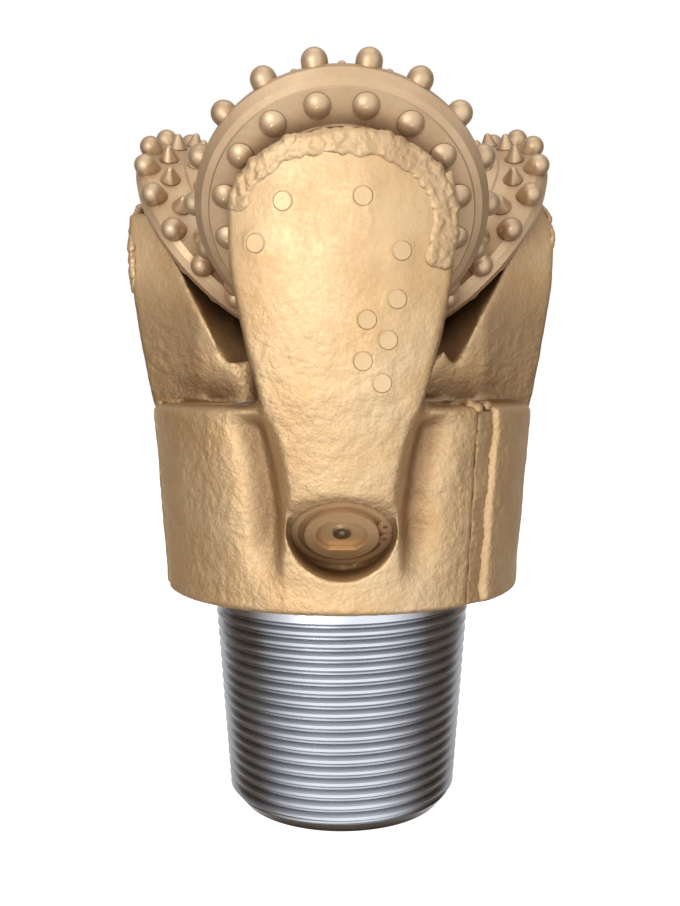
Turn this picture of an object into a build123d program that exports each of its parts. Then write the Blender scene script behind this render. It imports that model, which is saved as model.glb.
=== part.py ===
from build123d import *
import math
import os

os.makedirs("parts", exist_ok=True)

# Three-cone roller drill bit with carbide inserts, 10 5/8 in gauge, 6 5/8 REG tapered pin.
# Frame: +Z up along the bit axis towards the cutting end, origin at the centre of the pin's shoulder face.
# Each leg is built facing +X, then turned to its place.

# ---- driving dimensions, mm and degrees ----
LEG_ANGLES = [-90.0, 30.0, 150.0]
SECTOR_LO, SECTOR_HI = -76.0, 44.0     # a leg forging's share of the body, from its own centre line

# pin: 6 5/8 REG, 4 threads per inch, 2 in/ft taper, 5 in long
PIN_LEN = 127.0
PIN_BASE_R = 74.8                      # plain cylinder below the shoulder
PIN_BASE_LEN = 12.7
PIN_CREST_R0 = 76.1                    # crest radius projected to the shoulder
PIN_TAPER = 1.0 / 12.0                 # radius per length
PITCH = 6.35
THREAD_DEPTH = 3.4
PIN_BORE_R = 38.0
SHOULDER_R = 103.6
SPIGOT_R, SPIGOT_H = 76.0, 6.0            # the pin's seat inside the three legs

# body
BODY_TOP = 106.0
BODY_R_TOP = 112.0
PLENUM_TOP = 46.0
CROTCH_R = 52.0

# cone and journal
JOURNAL_ANGLE = 36.0                   # journal axis above the horizontal
B_R, B_Z = 87.0, 202.6                 # centre of the cone's back face: radius and height
CONE_R = 77.0
SEAT_GAP = 0.8                         # cone back face to leg
BOSS_R, RELIEF_S = 50.4, 111.4         # seat boss radius, and the face behind the heel inserts
S_BACK = B_R / math.cos(math.radians(JOURNAL_ANGLE))   # apex to back face along the journal axis
SHELL_TAN = math.tan(math.radians(38.3))
JOURNAL_R = 33.0
BUSH_R = 37.0
RUN_CLEAR = 0.06
BALL_R = 6.5
RACE_R = 31.0
BALL_S = 63.0
PILOT_R = 17.0
BALL_COUNT = 14

# shirt-tail pad, half width by height
PAD_TOP = 238.0
PAD_R = [(14.0, 104.0), (45.0, 108.8), (110.0, 121.0), (179.0, 129.6), (245.0, 133.0)]

# grease reservoir in the lower end of each leg
RES_TILT = 44.0                        # its axis points outwards and towards the pin
RES_CX, RES_CZ = 90.0, 39.0            # centre of the seat face
RES_POCKET_R = 28.5
RES_R = 21.0
RES_DEPTH = 34.0

HARDFACING_T = 2.2

# nozzles, one in each leg's trailing flank
NOZ_AZ = -50.0
NOZ_X, NOZ_Z = 79.0, BODY_TOP
NOZ_LEAN = 14.0
NOZ_R = 16.0

ca, sa = math.cos(math.radians(JOURNAL_ANGLE)), math.sin(math.radians(JOURNAL_ANGLE))
APEX = Vector(0, 0, B_Z + S_BACK * sa)
# cone frame: origin at the apex, local Z along the journal axis, outwards and down to the back face
CONE_PLANE = Plane(origin=APEX, x_dir=(0, 1, 0), z_dir=(ca, 0, -sa))


def put(shape, az):
    return Rot(0, 0, az) * shape


def revolve_profile(points, plane=None):
    """Closed polygon of (radius, height) turned about Z, then carried to a plane."""
    face = make_face(Polyline(*[(r, 0, z) for r, z in points], close=True))
    solid = revolve(face, Axis.Z, 360)
    return plane.location * solid if plane else solid


def cone_cyl(r, s0, s1):
    """Cylinder on the journal axis from s0 to s1."""
    return CONE_PLANE.location * Pos(0, 0, (s0 + s1) / 2) * Cylinder(r, abs(s1 - s0))


def one(shape):
    """The largest solid of a boolean result."""
    return max(shape.solids(), key=lambda s: s.volume)


def save(shape, name):
    solids = shape.solids() if not isinstance(shape, list) else [s for x in shape for s in x.solids()]
    out = Compound(children=list(solids)) if len(solids) > 1 else solids[0]
    export_step(out, f"parts/{name}.step")
    return out


# ---------------------------------------------------------------- pin shank
def crest_r(depth):
    return PIN_CREST_R0 - PIN_TAPER * depth


def make_shank():
    z_end = -PIN_LEN
    pts = [
        (PIN_BORE_R, SPIGOT_H), (PIN_BORE_R, z_end + 3), (PIN_BORE_R + 3, z_end),
        (crest_r(PIN_LEN) - 7.0, z_end), (crest_r(PIN_LEN - 9.0) - 0.0, z_end + 9.0),
        (crest_r(PIN_BASE_LEN + 1.3), -PIN_BASE_LEN - 1.3), (PIN_BASE_R, -PIN_BASE_LEN),
        (PIN_BASE_R, 0), (SPIGOT_R, 0), (SPIGOT_R, SPIGOT_H),
    ]
    return revolve_profile(pts)


def thread_turn(k):
    """One turn of the vee groove along the tapered helix."""
    depth0 = PIN_LEN + 4.0 - k * PITCH
    helix = Helix(pitch=PITCH, height=PITCH, radius=crest_r(depth0), center=(0, 0, -depth0), direction=(0, 0, 1), cone_angle=math.degrees(math.atan(PIN_TAPER)))
    start, tangent = helix @ 0, helix % 0
    plane = Plane(origin=start, x_dir=(start.X, start.Y, 0), z_dir=tangent)
    half = THREAD_DEPTH * math.tan(math.radians(30))
    section = plane * Polyline((-THREAD_DEPTH, 0.45), (-THREAD_DEPTH, -0.45), (0.9, -half - 0.97), (0.9, half + 0.97), close=True)
    return Rot(0, 0, 37) * sweep(make_face(section), path=helix, is_frenet=True)


THREAD_TURNS = 19


# ---------------------------------------------------------------- leg
def pad_outline(d=0.0):
    """Shirt-tail outline seen from outside, in (y, z), moved in by d: wide round tip above, narrow neck below."""
    tip = [(-56 + d, 196), (-49 + 0.85 * d, 219 - 0.5 * d), (-28 + 0.5 * d, 234 - 0.87 * d), (0, PAD_TOP - d)]
    tip = tip + [(-y, z) for y, z in reversed(tip[:-1])]
    side = [(56 - d, 196), (54 - d, 165), (41 - d, 110), (32 - d, 75), (29 - d, 50), (29 - d, 16)]
    with BuildSketch(Plane.YZ) as sk:
        with BuildLine():
            Spline(*tip, tangents=[(0.0, 1), (0.0, -1)])
            Spline(*side, tangents=[(0, -1), (0, -1)])
            Line((29 - d, 16), (-29 + d, 16))
            Spline(*[(-y, z) for y, z in reversed(side)], tangents=[(0, 1), (0, 1)])
        make_face()
    return sk.sketch


def pad_r(z):
    p = PAD_R
    for (z0, r0), (z1, r1) in zip(p, p[1:]):
        if z <= z1:
            return r0 + (r1 - r0) * (z - z0) / (z1 - z0)
    return p[-1][1]


RES_AXIS = Vector(math.cos(math.radians(RES_TILT)), 0, -math.sin(math.radians(RES_TILT)))
RES_PLANE = Plane(origin=(RES_CX, 0, RES_CZ), x_dir=(0, 1, 0), z_dir=RES_AXIS)


def res_cyl(r, h0, h1):
    """Cylinder on the reservoir axis; heights run outwards from the seat face."""
    return RES_PLANE.location * Pos(0, 0, (h0 + h1) / 2) * Cylinder(r, abs(h1 - h0))


NOZ_DIR = Vector(math.sin(math.radians(NOZ_LEAN)), 0, math.cos(math.radians(NOZ_LEAN)))
NOZ_PLANE = Plane(origin=(NOZ_X, 0, NOZ_Z), x_dir=(0, 1, 0), z_dir=NOZ_DIR)


def noz(shape):
    return Rot(0, 0, NOZ_AZ) * NOZ_PLANE.location * shape


BALL_HOLE_R = 7.2
BALL_END = Vector(33.5, 0, 203.6)                              # on the unloaded side of the ball race
BALL_START = Vector(150, 0, 193.0)                             # outside the shirt-tail
BALL_DIR = (BALL_START - BALL_END).normalized()
BALL_PLANE = Plane(origin=BALL_END, x_dir=(0, 1, 0), z_dir=BALL_DIR)

COMPACT_R = 5.1
# flat compacts on the pad, (y, z) seen from outside with +y to the right
COMPACTS = [(-28.2, 204.6), (10, 206.5), (-41.6, 185), (28.7, 181), (26.6, 158), (12.1, 148), (22.3, 138.3), (10.2, 128.1), (19.5, 117.5)]


def compact_plane(y, z):
    r = pad_r(z)
    x = math.sqrt(r * r - y * y)
    n = Vector(x, y, -0.11 * r).normalized()
    return Plane(origin=(x, y, z), x_dir=(0, 0, 1), z_dir=n)


def sector(r, z0, z1, lo, hi):
    """Wedge of a cylinder between two angles."""
    pts = [(0, 0)] + [(1.4 * r * math.cos(math.radians(lo + (hi - lo) * k / 4)), 1.4 * r * math.sin(math.radians(lo + (hi - lo) * k / 4))) for k in range(5)]
    face = make_face(Polyline(*[(x, y, z0) for x, y in pts], close=True))
    return extrude(face, z1 - z0, dir=(0, 0, 1))


def pad_hull(extra):
    """Everything inside the turned outside of the pads, grown by extra."""
    return revolve_profile([(0, PAD_R[0][0])] + [(r + extra, z) for z, r in PAD_R] + [(0, PAD_R[-1][0])])


def seam_groove():
    lean = math.degrees(math.atan((BODY_R_TOP - SHOULDER_R) / BODY_TOP))
    return Pos(SHOULDER_R + 3.5, 0, 0) * Rot(0, lean, 0) * Pos(0, 0, 53) * Cylinder(9.5, 120)


def grease_hole():
    """Drilled from the top of the reservoir bore up to the ball hole."""
    a = RES_PLANE.location * Pos(0, 0, -6.5 - RES_DEPTH + 1)
    start = Vector(*a.position)
    end = Vector(98.0, 0, 197.0)
    d = end - start
    return Plane(origin=start, x_dir=(0, 1, 0), z_dir=d.normalized()).location * Pos(0, 0, d.length / 2) * Cylinder(2.2, d.length)


def make_hardfacing():
    """Wear-resistant weld band over the round tip of the shirt-tail."""
    prism = extrude(pad_outline(1.2), 160, dir=(1, 0, 0)) - extrude(pad_outline(11.5), 160, dir=(1, 0, 0))
    band = (pad_hull(HARDFACING_T) - pad_hull(0)) & prism & (Pos(100, 0, 217) * Box(150, 150, 52))
    keep = CONE_PLANE.location * Pos(0, 0, S_BACK + SEAT_GAP + 150.5) * Box(400, 400, 300)
    return one(band & keep)


def make_seam_weld():
    inner = revolve_profile([(0, 0.5), (SHOULDER_R - 3.4, 0.5), (SHOULDER_R - 3.2, 10), (BODY_R_TOP - 3.4, BODY_TOP - 4), (0, BODY_TOP - 4)])
    return one(seam_groove() & inner)


def make_leg():
    wedge = sector(150, -1, 260, SECTOR_LO, SECTOR_HI)
    body = revolve_profile([(0, 0), (SHOULDER_R - 2, 0), (SHOULDER_R, 2), (SHOULDER_R, 10), (BODY_R_TOP, BODY_TOP - 3), (BODY_R_TOP - 4, BODY_TOP), (0, BODY_TOP)])
    body = body & wedge
    # pad and arm, full height, bounded outside by the turned profile
    hull = pad_hull(0)
    prism = extrude(pad_outline(), 160, dir=(1, 0, 0))
    pad = hull & prism & wedge
    # the arm stands outside the cone's back face only
    keep = CONE_PLANE.location * Pos(0, 0, S_BACK + SEAT_GAP + 150) * Box(400, 400, 300)
    arm_low = Pos(75, 0, BODY_TOP / 2) * Box(150, 150, BODY_TOP)
    pad = pad & (keep + arm_low)
    leg = body + pad
    # room for the cone to turn
    leg = leg - cone_cyl(CONE_R + 13, 20, S_BACK + SEAT_GAP)
    # half of a weld groove along each seam
    for az in (SECTOR_LO, SECTOR_HI):
        leg = leg - Rot(0, 0, az) * seam_groove()
    # journal and pilot pin
    jr = RACE_R - 0.6
    journal = revolve_profile([
        (0, 40.0), (PILOT_R - 1, 40.0), (PILOT_R, 41.0), (PILOT_R, 56.0), (jr - 1, 56.0), (jr, 57.0), (jr, 70.6),
        (JOURNAL_R, 70.6), (JOURNAL_R, S_BACK + SEAT_GAP + 6), (0, S_BACK + SEAT_GAP + 6)], CONE_PLANE)
    leg = leg + journal
    leg = leg - CONE_PLANE.location * Pos(0, 0, BALL_S) * Torus(RACE_R, BALL_R + 0.05)
    # behind the heel inserts the leg stands back, and only the seat boss stays close
    leg = leg - (cone_cyl(CONE_R + 13, S_BACK, RELIEF_S) - cone_cyl(BOSS_R, S_BACK - 1, RELIEF_S + 1))
    # the arm's inner edges lean back further out, clear of the heel row
    leg = leg - revolve_profile([(56, S_BACK), (92, S_BACK), (92, 123), (56, RELIEF_S - 0.2)], CONE_PLANE)
    # open crotch between the arms, under the cones
    leg = leg - Pos(0, 0, BODY_TOP + 22) * Cylinder(CROTCH_R, 44)
    # plenum, pin seat, waterway and nozzle socket
    leg = leg - Pos(0, 0, SPIGOT_H / 2 - 1) * Cylinder(SPIGOT_R, SPIGOT_H + 2)
    leg = leg - Pos(0, 0, PLENUM_TOP / 2 - 1) * Cylinder(PIN_BORE_R, PLENUM_TOP + 2)
    leg = leg - noz(Pos(0, 0, -60) * Cylinder(9.5, 110)) - noz(Pos(0, 0, -16 + 2) * Cylinder(NOZ_R, 36))
    # ball hole
    leg = leg - BALL_PLANE.location * Pos(0, 0, 55) * Cylinder(BALL_HOLE_R, 110)
    # reservoir: spot face, pocket and bore, with a grease hole up to the ball hole
    face_side = RES_PLANE.location * Pos(0, 0, 100) * Box(300, 300, 200)
    pocket = Pos(100, 0, 46.2) * Rot(0, 90, 0) * Cylinder(RES_POCKET_R, 100)
    leg = leg - (face_side & pocket)
    leg = leg - res_cyl(26.0, -6.5, 1) - res_cyl(27.6, -3.0, -1.2) - res_cyl(RES_R, -6.5 - RES_DEPTH, 0)
    leg = leg - grease_hole()
    for y, z in COMPACTS:
        leg = leg - compact_plane(y, z).location * Pos(0, 0, -4) * Cylinder(COMPACT_R, 12)
    return one(leg)


# ---------------------------------------------------------------- cone
# outer profile of the cone shell, (radius, distance from apex)
CONE_PROFILE = [
    (0, 13.0), (6.5, 13.0), (12.5, 17.0), (28.0, 36.2), (26.8, 38.4), (30.6, 42.8), (45.4, 59.6), (43.8, 62.2), (48.4, 66.8),
    (58.0, 75.4), (58.6, 76.8), (75.6, 91.0), (CONE_R, 94.8), (CONE_R, 99.4), (73.0, 103.3), (69.4, 104.2), (68.6, 105.2), (51.0, 106.4), (50.2, S_BACK), (39.4, S_BACK),
]


def make_cone_blank():
    bore = [
        (38.6, S_BACK), (37.4, 105.6), (37.4, 105.5), (39.4, 105.5), (39.4, 98.4), (BUSH_R, 98.4), (BUSH_R, 70.2), (RACE_R + 0.6, 70.2),
        (RACE_R + 0.6, 53.0), (PILOT_R + 0.25, 53.0), (PILOT_R + 0.25, 38.0), (0, 38.0),
    ]
    pts = CONE_PROFILE[:-1] + bore
    blank = revolve_profile(pts, CONE_PLANE)
    return blank - CONE_PLANE.location * Pos(0, 0, BALL_S) * Torus(RACE_R, BALL_R + 0.12)


def insert_plane(r, s, tilt, phi):
    """Plane at a point on the cone; its normal leans by tilt from the radial direction towards the nose."""
    c, n = math.cos(math.radians(phi)), math.sin(math.radians(phi))
    t = math.radians(tilt)
    local = Plane(origin=(r * c, r * n, s), x_dir=(-n, c, 0), z_dir=(math.cos(t) * c, math.cos(t) * n, -math.sin(t)))
    return CONE_PLANE.location * local.location


def dome_insert(r, grip, rise, kind):
    """Carbide insert about Z: grip below zero, a rounded or conical crown above."""
    if kind == "flat":
        pts = [(0, -grip), (r, -grip), (r, rise - 0.8), (r - 0.8, rise), (0, rise)]
        return revolve(make_face(Polyline(*[(a, 0, b) for a, b in pts], close=True)), Axis.Z, 360)
    if kind == "cone":
        ball = 0.40 * r
        z0, zc = 0.4, rise - ball
        reach = math.hypot(r, z0 - zc)
        angle = math.atan2(z0 - zc, r) + math.acos(ball / reach)
        touch = (ball * math.cos(angle), zc + ball * math.sin(angle))
        middle = (angle + math.pi / 2) / 2
        a = Polyline((0, 0, -grip), (r, 0, -grip), (r, 0, z0), (touch[0], 0, touch[1]))
        b = ThreePointArc((touch[0], 0, touch[1]), (ball * math.cos(middle), 0, zc + ball * math.sin(middle)), (0, 0, rise))
    else:
        if rise > r:
            z0, radius = rise - r, r
        else:
            z0 = 0.5
            radius = (r * r + (rise - z0) ** 2) / (2 * (rise - z0))
        zc = rise - radius
        half = math.asin(min(1.0, r / radius)) / 2
        a = Polyline((0, 0, -grip), (r, 0, -grip), (r, 0, z0))
        b = ThreePointArc((r, 0, z0), (radius * math.sin(half), 0, zc + radius * math.cos(half)), (0, 0, rise))
    c = Line((0, 0, rise), (0, 0, -grip))
    return revolve(make_face(a.edges() + [b, c]), Axis.Z, 360)


# rows by cone: (node, kind, count, phase, radius, s, tilt, insert radius, grip, rise)
def rows(i):
    ph = [0.0, 7.0, 13.0][i]
    mid = [(52.2, 70.3, 14), (51.4, 69.6, 13), (53.0, 71.0, 15)][i]
    inn = [(37.0, 50.1, 9), (38.2, 51.4, 10), (36.2, 49.1, 8)][i]
    nose = [(19.0, 25.0, 4), (21.4, 28.0, 5), (18.0, 23.8, 3)][i]
    return [
        ("heel_inserts", "dome", 16, 11.25 + ph, 61.0, 105.9, -90 + 4, 6.6, 4.8, 3.4),
        ("gauge_inserts", "dome", 18, ph, 74.4, 90.8, 20, 6.7, 8.0, 10.0),
        ("middle_inserts", "cone", 18, 10.0 + ph, 65.8, 82.6, 50, 5.8, 8.0, 9.0),
        ("middle_inserts", "cone", mid[2], ph, mid[0], mid[1], 50, 6.0, 8.0, 7.2),
        ("inner_inserts", "cone", inn[2], 5 + ph, inn[0], inn[1], 52, 6.0, 4.6, 7.0),
        ("inner_inserts", "cone", nose[2], 9 + ph, nose[0], nose[1], 54, 5.2, 6.0, 3.4),
    ]


def build():
    # pin
    shank = make_shank()
    if THREADED:
        for k in range(THREAD_TURNS):
            shank = shank - thread_turn(k)
        shank = one(shank)
    save(shank, "threaded_pin")

    leg = make_leg()
    blank = make_cone_blank()

    snap_rings, orings, noz_rings, valves, welds = [], [], [], [], []
    for i, az in enumerate(LEG_ANGLES):
        n = i + 1
        save(put(leg, az), f"leg_{n}")
        save(put(make_hardfacing(), az), f"hardfacing_{n}")
        welds.append(put(make_seam_weld(), az + SECTOR_HI))
        # ball plug fills the ball hole from the race to the shirt-tail
        plug_end = (131.2 - BALL_END.X) / BALL_DIR.X
        plug_start = (44.0 - BALL_END.X) / BALL_DIR.X
        plug = BALL_PLANE.location * Pos(0, 0, (plug_start + plug_end) / 2) * Cylinder(BALL_HOLE_R - 0.02, plug_end - plug_start)
        save(put(plug & pad_hull(-0.3), az), f"ball_plug_{n}")
        # compacts
        comp = [put(compact_plane(y, z).location * dome_insert(COMPACT_R, 10.0, 1.1, "flat"), az) for y, z in COMPACTS]
        save(comp, f"shirttail_compacts_{n}")
        # reservoir
        cap = RES_PLANE.location * (Pos(0, 0, -4.75) * Cylinder(25.9, 3.3) + Pos(0, 0, -1.3) * Cylinder(19.2, 3.8))
        notch = RES_PLANE.location * (Pos(0, 0, 0.2) * (Cylinder(13.4, 5.0) & Box(60, 23, 20)))
        cap = cap - notch - res_cyl(3.4, -8, 4)
        save(put(one(cap), az), f"reservoir_cap_{n}")
        valve = res_cyl(3.38, -6.4, -2.3) + res_cyl(4.6, -2.3, -1.1)
        valve = valve - res_cyl(1.9, -3.4, 0)
        valves.append(put(one(valve), az))
        ring = res_cyl(27.5, -2.95, -1.35) - res_cyl(22.6, -4, 0)
        ears = RES_PLANE.location * (Pos(21.6, 5.2, -2.15) * Cylinder(3.4, 1.6) + Pos(21.6, -5.2, -2.15) * Cylinder(3.4, 1.6))
        ring = ring + (ears - res_cyl(19.3, -4, 0))
        ring = ring - RES_PLANE.location * Pos(25, 0, -2.15) * Box(14, 3.6, 4)
        ring = ring - RES_PLANE.location * Pos(22.4, 5.2, -2.15) * Cylinder(1.25, 4) - RES_PLANE.location * Pos(22.4, -5.2, -2.15) * Cylinder(1.25, 4)
        snap_rings.append(put(one(ring), az))
        can = (res_cyl(RES_R - 0.02, -40.0, -6.45) - res_cyl(RES_R - 1.6, -38.4, -6.0) - res_cyl(2.5, -42, -37))
        save(put(one(can), az), f"reservoir_canister_{n}")
        dia = revolve_profile([(0, -30.0), (9.0, -30.0), (13.5, -27.0), (16.5, -10.5), (19.35, -9.0), (19.35, -6.5), (14.4, -6.5), (14.0, -10.0), (11.4, -25.2), (8.4, -27.6), (0, -27.6)], RES_PLANE)
        save(put(dia, az), f"pressure_diaphragm_{n}")
        # bearing
        bush = revolve_profile([(JOURNAL_R + RUN_CLEAR, 70.4), (BUSH_R, 70.4), (BUSH_R, 98.2), (JOURNAL_R + RUN_CLEAR, 98.2)], CONE_PLANE)
        save(put(bush, az), f"journal_bushing_{n}")
        washer = revolve_profile([(PILOT_R + 0.5, 53.3), (RACE_R - 0.2, 53.3), (RACE_R - 0.2, 55.9), (PILOT_R + 0.5, 55.9)], CONE_PLANE)
        save(put(washer, az), f"thrust_washer_{n}")
        balls = []
        for k in range(BALL_COUNT):
            a = 2 * math.pi * (k + 0.5) / BALL_COUNT
            balls.append(put(CONE_PLANE.location * Pos(RACE_R * math.cos(a), RACE_R * math.sin(a), BALL_S) * Sphere(BALL_R), az))
        save(balls, f"retaining_balls_{n}")
        seal = CONE_PLANE.location * Pos(0, 0, 101.9) * Torus(36.36, 2.98)
        save(put(seal, az), f"journal_seal_{n}")
        # nozzle
        nozzle = revolve_profile([(7.0, -31.9), (14.0, -31.9), (14.0, -4.0), (12.6, -2.6), (6.0, -2.6), (5.0, -5.0), (4.6, -16.0), (7.0, -27.0)])
        save(put(noz(nozzle), az), f"nozzle_{n}")
        orings.append(put(noz(Pos(0, 0, -20) * Torus(15.0, 0.98)), az))
        r = Pos(0, 0, -8.0) * (Cylinder(15.95, 11.6) - Cylinder(14.05, 12))
        noz_rings.append(put(noz(r), az))
        # cone and its inserts
        cone, groups = blank, {}
        cutters = []
        for node, kind, count, phase, r, s, tilt, ir, grip, rise in rows(i):
            blank_insert = dome_insert(ir, grip, rise, kind)
            for k in range(count):
                loc = insert_plane(r, s, tilt, phase + 360.0 * k / count)
                groups.setdefault(node, []).append(put(loc * blank_insert, az))
                cutters.append(loc * Pos(0, 0, (6 - grip) / 2) * Cylinder(ir, grip + 6))
        cone = one(cone - cutters)
        save(put(cone, az), f"cone_{n}")
        for node, solids in groups.items():
            save(solids, f"{node}_{n}")
    save(snap_rings, "reservoir_snap_rings")
    save(orings, "nozzle_o_rings")
    save(valves, "relief_valves")
    save(welds, "seam_welds")
    save(noz_rings, "nozzle_retaining_sleeves")


THREADED = True
build()
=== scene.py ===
import math
import random

import bpy
import numpy as np
from mathutils import Matrix, Vector


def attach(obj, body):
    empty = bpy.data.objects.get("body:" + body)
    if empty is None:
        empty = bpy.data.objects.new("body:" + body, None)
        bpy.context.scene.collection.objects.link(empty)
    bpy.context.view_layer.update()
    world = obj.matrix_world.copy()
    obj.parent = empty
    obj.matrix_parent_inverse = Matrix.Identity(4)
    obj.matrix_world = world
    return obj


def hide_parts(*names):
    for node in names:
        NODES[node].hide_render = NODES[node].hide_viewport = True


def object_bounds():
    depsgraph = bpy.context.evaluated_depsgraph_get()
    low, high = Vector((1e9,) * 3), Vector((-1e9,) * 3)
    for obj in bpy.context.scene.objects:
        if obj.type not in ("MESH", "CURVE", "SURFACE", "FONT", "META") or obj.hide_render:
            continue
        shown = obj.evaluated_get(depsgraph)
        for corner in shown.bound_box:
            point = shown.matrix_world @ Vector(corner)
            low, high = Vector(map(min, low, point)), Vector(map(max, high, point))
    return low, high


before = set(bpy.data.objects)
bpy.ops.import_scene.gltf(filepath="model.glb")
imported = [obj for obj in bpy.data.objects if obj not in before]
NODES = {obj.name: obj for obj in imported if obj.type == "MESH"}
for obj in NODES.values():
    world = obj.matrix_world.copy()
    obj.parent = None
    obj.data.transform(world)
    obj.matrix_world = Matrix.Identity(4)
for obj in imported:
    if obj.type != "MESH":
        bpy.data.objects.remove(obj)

cad_box = [[float(c) for c in v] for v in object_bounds()]
LEG_AZ = {1: -90.0, 2: 30.0, 3: 150.0}
COMPACTS = [(-0.0282, 0.2046), (0.010, 0.2065), (-0.0416, 0.185), (0.0287, 0.181), (0.0266, 0.158), (0.0121, 0.148), (0.0223, 0.1383), (0.0102, 0.1281), (0.0195, 0.1175)]

# journal axis in a leg's own frame (the leg faces +X), metres
JA = math.radians(36.0)
S_BACK = 0.087 / math.cos(JA)
APEX = np.array([0.0, 0.0, 0.2026 + S_BACK * math.sin(JA)])
J_DIR = np.array([math.cos(JA), 0.0, -math.sin(JA)])
RES_O = np.array([0.090, 0.0, 0.039])
RES_DIR = np.array([math.cos(math.radians(44)), 0.0, -math.sin(math.radians(44))])
PAD_R = [(0.014, 0.104), (0.045, 0.1088), (0.110, 0.121), (0.179, 0.1296), (0.245, 0.133)]


# ------------------------------------------------------------------ shader helpers
def new_mat(name):
    m = bpy.data.materials.new(name)
    m.use_nodes = True
    nt = m.node_tree
    nt.nodes.clear()
    out = nt.nodes.new("ShaderNodeOutputMaterial")
    b = nt.nodes.new("ShaderNodeBsdfPrincipled")
    nt.links.new(b.outputs[0], out.inputs[0])
    return m, nt, b


def N(nt, kind, **kw):
    n = nt.nodes.new(kind)
    for k, v in kw.items():
        setattr(n, k, v)
    return n


def coords(nt, scale=(1, 1, 1)):
    tc = N(nt, "ShaderNodeTexCoord")
    mp = N(nt, "ShaderNodeMapping")
    mp.inputs["Scale"].default_value = scale
    nt.links.new(tc.outputs["Object"], mp.inputs["Vector"])
    return mp.outputs[0]


def noise(nt, vec, scale, detail=3.0, rough=0.55):
    n = N(nt, "ShaderNodeTexNoise")
    n.inputs["Scale"].default_value = scale
    n.inputs["Detail"].default_value = detail
    n.inputs["Roughness"].default_value = rough
    nt.links.new(vec, n.inputs["Vector"])
    return n.outputs["Fac"]


def ramp(nt, fac, lo, hi, a=0.0, b=1.0):
    r = N(nt, "ShaderNodeMapRange")
    r.inputs["From Min"].default_value = lo
    r.inputs["From Max"].default_value = hi
    r.inputs["To Min"].default_value = a
    r.inputs["To Max"].default_value = b
    nt.links.new(fac, r.inputs["Value"])
    return r.outputs[0]


def mix(nt, fac, a, b):
    n = N(nt, "ShaderNodeMix", data_type="RGBA")
    for sock, v in ((n.inputs[6], a), (n.inputs[7], b)):
        if isinstance(v, tuple):
            sock.default_value = (*v, 1)
        else:
            nt.links.new(v, sock)
    if isinstance(fac, float):
        n.inputs[0].default_value = fac
    else:
        nt.links.new(fac, n.inputs[0])
    return n.outputs[2]


def math_node(nt, op, a, b):
    n = N(nt, "ShaderNodeMath", operation=op)
    for i, v in enumerate((a, b)):
        if isinstance(v, (int, float)):
            n.inputs[i].default_value = v
        else:
            nt.links.new(v, n.inputs[i])
    return n.outputs[0]


def bump(nt, height, strength, distance, normal=None):
    b = N(nt, "ShaderNodeBump")
    b.inputs["Distance"].default_value = distance
    nt.links.new(height, b.inputs["Height"])
    if isinstance(strength, (int, float)):
        b.inputs["Strength"].default_value = strength
    else:
        nt.links.new(strength, b.inputs["Strength"])
    if normal is not None:
        nt.links.new(normal, b.inputs["Normal"])
    return b.outputs[0]


def paint(name, light, mid, dark, r0, r1, grain=0.5, forged=0.0, metallic=0.85, shade_distance=0.012, edge=0.0, shade_strength=0.85, valley_shade_and_rub=False):
    """Gold metallic paint: flake grain, painted shade darkening the crevices, and cast or forged texture below."""
    m, nt, b = new_mat(name)
    v = coords(nt)
    big = noise(nt, v, 26.0, 4.0)
    fine = noise(nt, v, 420.0, 3.0, 0.6)
    flake = noise(nt, v, 2600.0, 1.0)
    col = mix(nt, ramp(nt, big, 0.34, 0.66), mid, light)
    col = mix(nt, ramp(nt, flake, 0.35, 0.7, 0.0, 0.22), col, mid)
    # painted shade: hollows found by ambient occlusion are darkened towards the dark colour
    ao = N(nt, "ShaderNodeAmbientOcclusion", samples=6)
    ao.inputs["Distance"].default_value = shade_distance
    ao_shade = ramp(nt, ao.outputs["AO"], 0.30, 0.88, shade_strength, 0.0)
    col = mix(nt, ao_shade, col, dark)
    # painted shade: the marked forged valleys and shirt-tail side walls are darkened to a dim brown
    if valley_shade_and_rub:
        at = N(nt, "ShaderNodeAttribute", attribute_name="painted_valley_shade")
        valley_shade = math_node(nt, "MULTIPLY", at.outputs["Fac"], ramp(nt, big, 0.25, 0.6, 0.75, 1.0))
        col = mix(nt, valley_shade, col, (0.21, 0.105, 0.040))
    # wear: random rubbed patches in a lighter brown
    if valley_shade_and_rub:
        rub = noise(nt, coords(nt, (1.0, 1.0, 0.35)), 48.0, 5.0, 0.7)
        col = mix(nt, ramp(nt, rub, 0.54, 0.72, 0.0, 0.30), col, (0.42, 0.27, 0.13))
    if edge:
        geo = N(nt, "ShaderNodeNewGeometry")
        col = mix(nt, ramp(nt, geo.outputs["Pointiness"], 0.52, 0.60, 0.0, edge), col, light)
    nt.links.new(col, b.inputs["Base Color"])
    b.inputs["Metallic"].default_value = metallic
    nt.links.new(ramp(nt, fine, 0.3, 0.7, r0, r1), b.inputs["Roughness"])
    n1 = bump(nt, flake, 0.10 * grain, 0.0002)
    n2 = bump(nt, fine, 0.42 * grain, 0.0006, n1)
    if forged:
        tc = N(nt, "ShaderNodeTexCoord")
        sep = N(nt, "ShaderNodeSeparateXYZ")
        nt.links.new(tc.outputs["Object"], sep.inputs[0])
        where = ramp(nt, sep.outputs["Z"], 0.120, 0.175, forged, 0.25 * forged)
        coarse = noise(nt, v, 190.0, 4.0, 0.62)
        n2 = bump(nt, coarse, where, 0.0011, n2)
    nt.links.new(n2, b.inputs["Normal"])
    return m


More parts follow.
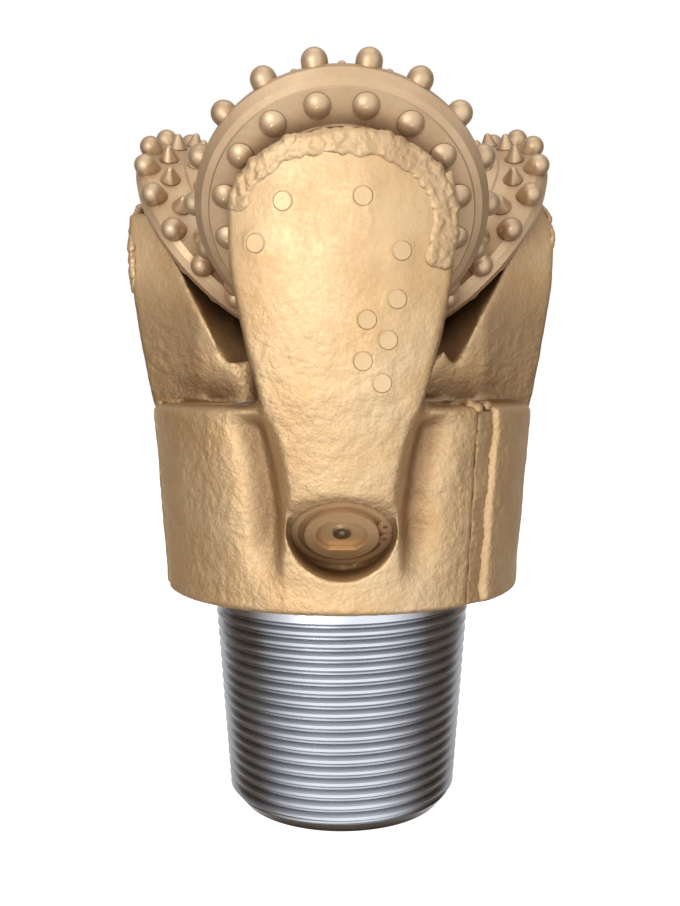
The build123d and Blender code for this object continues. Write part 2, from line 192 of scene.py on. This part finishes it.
def turned_steel(name, base, r0, r1, lines=2600.0, strength=0.10):
    """Bare turned steel, with fine tool lines round the axis."""
    m, nt, b = new_mat(name)
    fine = noise(nt, coords(nt, (0.02, 0.02, 1.0)), lines, 2.0)
    broad = noise(nt, coords(nt, (0.3, 0.3, 1.0)), 60.0, 3.0)
    smear = noise(nt, coords(nt), 34.0, 3.0)
    dark = tuple(0.62 * c for c in base)
    col = mix(nt, ramp(nt, broad, 0.35, 0.75, 0.0, 0.35), base, dark)
    # painted shade: the thread grooves, found by ambient occlusion, are darkened
    ao = N(nt, "ShaderNodeAmbientOcclusion", samples=6)
    ao.inputs["Distance"].default_value = 0.004
    col = mix(nt, ramp(nt, ao.outputs["AO"], 0.35, 0.9, 0.75, 0.0), col, tuple(0.22 * c for c in base))
    nt.links.new(col, b.inputs["Base Color"])
    b.inputs["Metallic"].default_value = 1.0
    nt.links.new(ramp(nt, smear, 0.3, 0.7, r0, r1), b.inputs["Roughness"])
    nt.links.new(bump(nt, fine, strength, 0.0003), b.inputs["Normal"])
    return m


def metal(name, base, r0, r1, scale=240.0, strength=0.12, metallic=1.0):
    m, nt, b = new_mat(name)
    v = coords(nt)
    n = noise(nt, v, scale, 3.0)
    nt.links.new(mix(nt, ramp(nt, noise(nt, v, 40.0, 3.0), 0.35, 0.7), base, tuple(0.78 * c for c in base)), b.inputs["Base Color"])
    b.inputs["Metallic"].default_value = metallic
    nt.links.new(ramp(nt, n, 0.3, 0.7, r0, r1), b.inputs["Roughness"])
    nt.links.new(bump(nt, n, strength, 0.0002), b.inputs["Normal"])
    return m


# the darkest colour is painted shade, used only to darken the crevices
LIGHT, MID, SHADE_DARK = (0.83, 0.60, 0.345), (0.72, 0.465, 0.225), (0.110, 0.048, 0.014)
M_LEG = paint("gold_paint_forged", LIGHT, MID, SHADE_DARK, 0.42, 0.56, grain=0.9, forged=1.0, metallic=0.68, shade_distance=0.026, edge=0.3, shade_strength=0.95, valley_shade_and_rub=True)
M_CONE = paint("gold_paint_cone", (0.76, 0.55, 0.34), (0.62, 0.42, 0.235), SHADE_DARK, 0.36, 0.50, grain=0.6, metallic=0.62, shade_distance=0.012, shade_strength=0.95)
M_INSERT = paint("gold_paint_carbide", (0.76, 0.56, 0.35), (0.62, 0.42, 0.245), SHADE_DARK, 0.32, 0.44, grain=0.35, metallic=0.62, shade_distance=0.007, shade_strength=0.8)
M_COMPACT = paint("gold_paint_compact", LIGHT, (0.74, 0.50, 0.26), SHADE_DARK, 0.40, 0.52, grain=0.6, metallic=0.58, shade_distance=0.003, shade_strength=0.25)
M_HARD = paint("gold_paint_hardfacing", (0.78, 0.56, 0.32), (0.58, 0.38, 0.195), SHADE_DARK, 0.40, 0.54, grain=1.0, metallic=0.58, shade_distance=0.005, shade_strength=0.9)
M_WELD = paint("gold_paint_weld", (0.72, 0.50, 0.27), (0.55, 0.35, 0.17), SHADE_DARK, 0.42, 0.56, grain=1.0, metallic=0.58, shade_distance=0.010, shade_strength=0.9)
M_CAP = paint("gold_paint_cap", (0.84, 0.60, 0.35), (0.72, 0.48, 0.25), SHADE_DARK, 0.36, 0.48, grain=0.6, metallic=0.60, shade_distance=0.004, shade_strength=0.45)
M_PIN = turned_steel("turned_steel", (0.76, 0.785, 0.83), 0.22, 0.34, strength=0.16)
M_PLATE = metal("plated_steel", (0.55, 0.52, 0.46), 0.30, 0.42)
M_BALL = metal("bearing_steel", (0.75, 0.75, 0.77), 0.08, 0.14, strength=0.03)
M_BRONZE = turned_steel("bearing_bronze", (0.72, 0.50, 0.26), 0.25, 0.36)
M_CARBIDE = metal("sintered_carbide", (0.33, 0.33, 0.35), 0.34, 0.48, 500.0)
M_RUBBER = metal("nitrile_rubber", (0.035, 0.035, 0.04), 0.55, 0.72, 380.0, 0.25, 0.0)

BY_PREFIX = [
    ("leg_", M_LEG), ("cone_", M_CONE), ("heel_inserts", M_INSERT), ("gauge_inserts", M_INSERT),
    ("middle_inserts", M_INSERT), ("inner_inserts", M_INSERT), ("hardfacing", M_HARD), ("seam_welds", M_WELD),
    ("threaded_pin", M_PIN), ("shirttail_compacts", M_COMPACT), ("ball_plug", M_LEG), ("reservoir_cap", M_CAP),
    ("reservoir_snap", M_CAP), ("relief_valves", M_PLATE), ("reservoir_canister", M_PLATE),
    ("pressure_diaphragm", M_RUBBER), ("journal_seal", M_RUBBER), ("nozzle_o_rings", M_RUBBER),
    ("journal_bushing", M_BRONZE), ("thrust_washer", M_BRONZE), ("retaining_balls", M_BALL),
    ("nozzle_retaining", M_PLATE), ("nozzle_", M_CARBIDE),
]
for name, o in NODES.items():
    for prefix, m in BY_PREFIX:
        if name.startswith(prefix):
            o.data.materials.clear()
            o.data.materials.append(m)
            break


# ------------------------------------------------------------------ mesh helpers
def rot_z(deg):
    return Matrix.Rotation(math.radians(deg), 4, "Z")


def joined(meshes, name):
    import bmesh
    bm = bmesh.new()
    for q in meshes:
        bm.from_mesh(q)
    me = bpy.data.meshes.new(name)
    bm.to_mesh(me)
    bm.free()
    return me


def remeshed(src_mesh, voxel, name):
    """A clean closed copy of a mesh on a voxel grid."""
    ob = bpy.data.objects.new(name, src_mesh.copy())
    bpy.context.scene.collection.objects.link(ob)
    mod = ob.modifiers.new("v", "REMESH")
    mod.mode = "VOXEL"
    mod.voxel_size = voxel
    dg = bpy.context.evaluated_depsgraph_get()
    me = bpy.data.meshes.new_from_object(ob.evaluated_get(dg))
    old = ob.data
    ob.modifiers.clear()
    ob.data = me
    bpy.data.meshes.remove(old)
    return ob


def arrays(me):
    co = np.zeros(len(me.vertices) * 3)
    me.vertices.foreach_get("co", co)
    e = np.zeros(len(me.edges) * 2, int)
    me.edges.foreach_get("vertices", e)
    return co.reshape(-1, 3), e.reshape(-1, 2)


def store(me, co):
    me.vertices.foreach_set("co", co.astype(np.float32).ravel())
    me.update()


def normals(me, co):
    store(me, co)
    n = np.zeros(len(me.vertices) * 3)
    me.vertex_normals.foreach_get("vector", n)
    return n.reshape(-1, 3)


def neighbour_mean(co, e):
    k = len(co)
    i = np.concatenate([e[:, 0], e[:, 1]])
    j = np.concatenate([e[:, 1], e[:, 0]])
    cnt = np.maximum(np.bincount(i, minlength=k), 1)
    return np.stack([np.bincount(i, co[j, a], minlength=k) / cnt for a in range(3)], 1)


def value_noise(p, scale, seed):
    """Smooth lattice noise in -1..1."""
    rng = np.random.RandomState(seed)
    table = rng.rand(4096) * 2 - 1
    q = p * scale
    b = np.floor(q).astype(int)
    f = q - b
    f = f * f * (3 - 2 * f)
    out = np.zeros(len(p))
    for dx in (0, 1):
        for dy in (0, 1):
            for dz in (0, 1):
                h = ((b[:, 0] + dx) * 73856093 ^ (b[:, 1] + dy) * 19349663 ^ (b[:, 2] + dz) * 83492791) & 4095
                w = (f[:, 0] if dx else 1 - f[:, 0]) * (f[:, 1] if dy else 1 - f[:, 1]) * (f[:, 2] if dz else 1 - f[:, 2])
                out += table[h] * w
    return out


def step(x, a, b):
    t = np.clip((x - a) / (b - a), 0, 1)
    return t * t * (3 - 2 * t)


def off_axis(p, o, d):
    """Distance from an axis, and height along it."""
    v = p - o
    h = v @ d
    return np.linalg.norm(v - h[:, None] * d, axis=1), h


def pad_r(z):
    return np.interp(z, [a for a, _ in PAD_R], [b for _, b in PAD_R])


# ------------------------------------------------------------------ legs: forged skin
def forged_leg():
    src = joined([NODES[k].data for k in ("leg_1", "shirttail_compacts_1", "ball_plug_1")], "leg_src")
    ob = remeshed(src, 0.00125, "forged_leg_1")
    bpy.data.meshes.remove(src)
    me = ob.data
    co, e = arrays(me)
    back = np.array(rot_z(90.0).to_3x3())             # leg 1 back to its own frame
    loc = co @ back.T
    r = np.hypot(loc[:, 0], loc[:, 1])
    z = loc[:, 2]
    az = np.degrees(np.arctan2(loc[:, 1], loc[:, 0]))
    jr, js = off_axis(loc, APEX, J_DIR)
    rr, rh = off_axis(loc, RES_O, RES_DIR)
    noz = np.array(rot_z(-50.0).to_3x3())
    no = noz @ np.array([0.079, 0, 0.106])
    nd = noz @ np.array([math.sin(math.radians(14)), 0, math.cos(math.radians(14))])
    nr, nh = off_axis(loc, no, nd)
    free = np.ones(len(loc))
    free *= step(rr, 0.029, 0.034)                                        # reservoir
    free *= np.where((js < 0.1125) & (jr < 0.094), 0.0, 1.0)              # round the cone
    free *= step(r, 0.079, 0.084)                                         # plenum and pin seat
    free *= np.where(nh > -0.05, step(nr, 0.017, 0.020), 1.0)             # nozzle
    free *= step(z, 0.0015, 0.004)                                        # shoulder
    seam = np.minimum(np.abs(az - 44.0), np.abs(az + 76.0))
    soft = free * step(np.radians(seam) * r, 0.006, 0.011)
    # general rounding of a forging
    for _ in range(4):
        co += (neighbour_mean(co, e) - co) * (0.45 * free)[:, None]
    # the arm's inner edge, outside the cone's reach
    edge_w = step(jr, 0.083, 0.087) * (1 - step(jr, 0.106, 0.114)) * step(js, 0.100, 0.104) * (1 - step(js, 0.130, 0.140)) * (r > 0.05)
    for _ in range(45):
        co += (neighbour_mean(co, e) - co) * (0.5 * edge_w)[:, None]
    # concave corners fill to forged fillets
    for k in range(70):
        if k % 5 == 0:
            nrm = normals(me, co)
        d = ((neighbour_mean(co, e) - co) * nrm).sum(1)
        co += nrm * (np.maximum(d, 0) * 0.95 * soft)[:, None]
    # the shirt-tail stands out of a shallow forged valley on each side
    hw = np.interp(z, [0.016, 0.050, 0.075, 0.110, 0.165, 0.196], [0.029, 0.029, 0.032, 0.041, 0.054, 0.056])
    side = np.abs(loc[:, 1]) - hw
    outside = (r > 0.096) & (z < 0.1045) & (side > -0.004)
    valley = outside * np.exp(-(((side - 0.0085) / 0.0085) ** 2)) * step(z, 0.010, 0.045) * (1 - step(z, 0.094, 0.104))
    co -= np.stack([loc[:, 0] / r, loc[:, 1] / r, 0 * r], 1) @ back * (0.0085 * valley * free)[:, None]
    for _ in range(8):
        co += (neighbour_mean(co, e) - co) * (0.4 * soft)[:, None]
    # uneven forged skin, quieter on the upper shirt-tail
    nrm = normals(me, co)
    rough = free * (1 - 0.8 * step(z, 0.120, 0.185))
    h = 0.00042 * value_noise(loc, 55.0, 3) + 0.00026 * value_noise(loc, 150.0, 5) + 0.00014 * value_noise(loc, 330.0, 7)
    # weld ring round the ball plug
    pr = np.hypot(loc[:, 1], z - 0.1945)
    ring = np.exp(-(((pr - 0.0140) / 0.0012) ** 2)) * (loc[:, 0] > 0.11) * (0.6 + 0.4 * value_noise(loc, 260.0, 9))
    # under each compact's face the skin stays just below it
    under = np.zeros(len(loc))
    for y, zc in COMPACTS:
        rc = float(pad_r(zc))
        o = np.array([math.sqrt(rc * rc - y * y), y, zc])
        d = np.array([o[0], o[1], -0.11 * rc])
        dist, up_ = off_axis(loc, o, d / np.linalg.norm(d))
        under = np.maximum(under, (1 - step(dist, 0.0044, 0.0056)) * (up_ > -0.004))
    co += nrm * (h * rough * (1 - under) + 0.00045 * ring * free - 0.00040 * under)[:, None]
    store(me, co)
    # painted shade: a mask over the forged valleys and the upper shirt-tail side walls, kept on the mesh, where the
    # leg paint is darkened as if in shade
    wall = (r > 0.085) & (z >= 0.1045) & (z < 0.20) & (side > -0.0025) & (js > 0.112)
    painted_shade_mask = np.clip(0.80 * valley + 0.55 * wall * (1 - step(z, 0.150, 0.200)), 0, 0.85)
    for _ in range(12):
        painted_shade_mask += (neighbour_mean(painted_shade_mask[:, None].repeat(3, 1), e)[:, 0] - painted_shade_mask) * 0.5
    att = me.attributes.new("painted_valley_shade", "FLOAT", "POINT")
    att.data.foreach_set("value", painted_shade_mask.astype(np.float32))
    me.materials.clear()
    me.materials.append(M_LEG)
    me.polygons.foreach_set("use_smooth", np.ones(len(me.polygons), bool))
    me.update()
    return ob


leg1 = forged_leg()
for n in (1, 2, 3):
    if n == 1:
        ob = leg1
    else:
        me = leg1.data.copy()
        me.transform(rot_z(LEG_AZ[n] - LEG_AZ[1]))
        ob = bpy.data.objects.new(f"forged_leg_{n}", me)
        bpy.context.scene.collection.objects.link(ob)
    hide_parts(f"leg_{n}")
    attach(ob, "bit_body")


# ------------------------------------------------------------------ hardfacing and welds
def blobs_mesh(blobs, voxel, name, smooth=3):
    """Overlapping beads joined into one closed skin."""
    import bmesh
    bm = bmesh.new()
    for c, rad, sq, m in blobs:
        mat = Matrix.Translation(c) @ m @ Matrix.Diagonal((sq, 1.0, 1.0, 1.0))
        bmesh.ops.create_icosphere(bm, subdivisions=2, radius=rad, matrix=mat)
    me = bpy.data.meshes.new(name + "_src")
    bm.to_mesh(me)
    bm.free()
    ob = remeshed(me, voxel, name)
    bpy.data.meshes.remove(me)
    co, e = arrays(ob.data)
    for _ in range(smooth):
        co += (neighbour_mean(co, e) - co) * 0.5
    nrm = normals(ob.data, co)
    co += nrm * (0.00040 * value_noise(co, 300.0, 21) + 0.00022 * value_noise(co, 800.0, 22))[:, None]
    store(ob.data, co)
    ob.data.polygons.foreach_set("use_smooth", np.ones(len(ob.data.polygons), bool))
    return ob


def along(points, pitch):
    """Evenly spaced points on a smooth open curve."""
    p = [np.array(q, float) for q in points]
    p = [2 * p[0] - p[1]] + p + [2 * p[-1] - p[-2]]
    dense = []
    for i in range(1, len(p) - 2):
        for k in range(40):
            t = k / 40
            dense.append(0.5 * (2 * p[i] + (p[i + 1] - p[i - 1]) * t + (2 * p[i - 1] - 5 * p[i] + 4 * p[i + 1] - p[i + 2]) * t * t + (3 * p[i] - p[i - 1] - 3 * p[i + 1] + p[i + 2]) * t ** 3))
    dense = np.array(dense)
    seg = np.r_[0, np.cumsum(np.linalg.norm(np.diff(dense, axis=0), axis=1))]
    s = np.arange(0, seg[-1], pitch)
    return np.stack([np.interp(s, seg, dense[:, a]) for a in range(dense.shape[1])], 1)


TIP = [(-51, 203), (-48.5, 211), (-40, 221), (-24, 229.5), (0, 232.5), (24, 229.5), (41, 220), (49.5, 206), (51, 195), (49.5, 184), (47.5, 175)]
for n in (1, 2, 3):
    rnd = random.Random(40 + n)
    path = along(TIP, 2.3)
    blobs = []
    for i, (y, z) in enumerate(path):
        t = i / (len(path) - 1)
        big = 1.0 + 0.35 * t
        for off in (-2.9, 0.0, 2.8):
            j = min(i + 1, len(path) - 1)
            d = path[j] - path[max(j - 1, 0)]
            d = d / (np.linalg.norm(d) + 1e-9)
            yy = y - d[1] * (off * big + rnd.uniform(-0.9, 0.9)) + rnd.uniform(-0.6, 0.6)
            zz = z + d[0] * (off * big + rnd.uniform(-0.9, 0.9)) + rnd.uniform(-0.6, 0.6)
            zz = min(zz, 236.5)
            rp = float(pad_r(zz / 1000.0)) * 1000.0
            x = math.sqrt(rp * rp - yy * yy)
            out = np.array([x, yy, 0.0]) / rp
            rad = rnd.uniform(3.2, 4.3) * (0.90 + 0.28 * t)
            c = np.array([x, yy, zz]) - out * (rad * (0.56 - 0.08 * t))
            w = rot_z(LEG_AZ[n]) @ Vector([q / 1000 for q in c])
            blobs.append((w, rad / 1000, 0.85, rot_z(LEG_AZ[n] + math.degrees(math.atan2(yy, x)))))
    ob = blobs_mesh(blobs, 0.0006, f"hardfacing_bead_{n}", 8)
    ob.data.materials.append(M_HARD)
    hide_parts(f"hardfacing_{n}")
    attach(ob, "bit_body")

weld = remeshed(NODES["seam_welds"].data, 0.0010, "seam_weld_beads")
co, e = arrays(weld.data)
for _ in range(3):
    co += (neighbour_mean(co, e) - co) * 0.5
nrm = normals(weld.data, co)
zz = co[:, 2]
outer = step(np.hypot(co[:, 0], co[:, 1]), 0.096, 0.100)
ripple = 0.00016 * np.sin(zz * 2 * math.pi / 0.0042 + 2.0 * value_noise(co, 70.0, 31))
co += nrm * (0.0008 + outer * (ripple + 0.0008 * value_noise(co, 80.0, 32) + 0.0003 * value_noise(co, 420.0, 33)))[:, None]
store(weld.data, co)
weld.data.materials.clear()
weld.data.materials.append(M_WELD)
weld.data.polygons.foreach_set("use_smooth", np.ones(len(weld.data.polygons), bool))
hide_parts("seam_welds")
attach(weld, "bit_body")

# rough end of each seam weld, run out on the ledge
spatter = []
rnd = random.Random(91)
for n in (1, 2, 3):
    for k in range(16):
        a = math.radians(LEG_AZ[n] + 44.0 + rnd.uniform(-9, 3))
        rp = rnd.uniform(96, 108.5)
        c = Vector((rp * math.cos(a), rp * math.sin(a), rnd.uniform(103.6, 106.2))) / 1000
        spatter.append((c, rnd.uniform(2.0, 4.2) / 1000, 1.0, Matrix.Identity(4)))
ob = blobs_mesh(spatter, 0.0007, "seam_weld_ends", 4)
ob.data.materials.append(M_WELD)
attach(ob, "bit_body")

# ------------------------------------------------------------------ floor, light and camera
low = cad_box[0][2]
me = bpy.data.meshes.new("floor")
me.from_pydata([(-6, -6, low), (6, -6, low), (6, 6, low), (-6, 6, low)], [], [(0, 1, 2, 3)])
floor = bpy.data.objects.new("floor", me)
bpy.context.scene.collection.objects.link(floor)
m, nt, b = new_mat("pale_floor")
nt.links.new(mix(nt, ramp(nt, noise(nt, coords(nt), 3.0), 0.3, 0.7), (0.88, 0.88, 0.88), (0.92, 0.92, 0.92)), b.inputs["Base Color"])
b.inputs["Roughness"].default_value = 0.75
b.inputs["Emission Color"].default_value = (1, 1, 1, 1)
b.inputs["Emission Strength"].default_value = 0.78
floor.visible_glossy = False
floor.visible_diffuse = False
floor.data.materials.append(m)


def area(name, pos, target, sx, sy, energy, colour=(1, 1, 1)):
    l = bpy.data.lights.new(name, "AREA")
    l.shape = "RECTANGLE"
    l.size, l.size_y = sx, sy
    l.energy = energy
    l.color = colour
    o = bpy.data.objects.new(name, l)
    o.location = pos
    o.rotation_euler = (Vector(target) - Vector(pos)).to_track_quat("-Z", "Y").to_euler()
    bpy.context.scene.collection.objects.link(o)


area("key", (-0.55, -1.45, 0.15), (0, 0, 0.02), 0.9, 0.9, 6.0, (1.0, 0.97, 0.93))
area("top", (0.0, -0.25, 1.45), (0, 0, 0.15), 1.2, 0.9, 2.5)

# a room lit softly from the front and above, with warm dim sides; the backdrop itself is white
world = bpy.data.worlds.new("studio")
bpy.context.scene.world = world
world.use_nodes = True
wt = world.node_tree
bg = wt.nodes["Background"]
tc = N(wt, "ShaderNodeTexCoord")
sep = N(wt, "ShaderNodeSeparateXYZ")
wt.links.new(tc.outputs["Generated"], sep.inputs[0])
front = ramp(wt, math_node(wt, "MULTIPLY", sep.outputs["Y"], -1.0), 0.08, 0.78)
up = ramp(wt, sep.outputs["Z"], 0.25, 0.95, 0.0, 0.42)
behind = ramp(wt, sep.outputs["Y"], 0.55, 0.95, 0.0, 0.60)
lit = math_node(wt, "MAXIMUM", math_node(wt, "MAXIMUM", front, up), behind)
room = mix(wt, lit, (0.110, 0.078, 0.056), (1.18, 1.20, 1.25))
path = N(wt, "ShaderNodeLightPath")
wt.links.new(mix(wt, path.outputs["Is Camera Ray"], room, (1.0, 1.0, 1.0)), bg.inputs[0])
bg.inputs[1].default_value = 1.0

cam = bpy.data.cameras.new("camera")
cam.lens = 40.9
cam.sensor_width = 36.0
cam.shift_y = -0.076
cam.shift_x = -0.002
cam.clip_start = 0.01
camera = bpy.data.objects.new("camera", cam)
camera.location = (0.0, -0.62, 0.117)
camera.rotation_euler = (math.radians(90), 0, 0)
bpy.context.scene.collection.objects.link(camera)
bpy.context.scene.camera = camera
bpy.context.scene.view_settings.view_transform = "Standard"
bpy.context.scene.view_settings.look = "None"
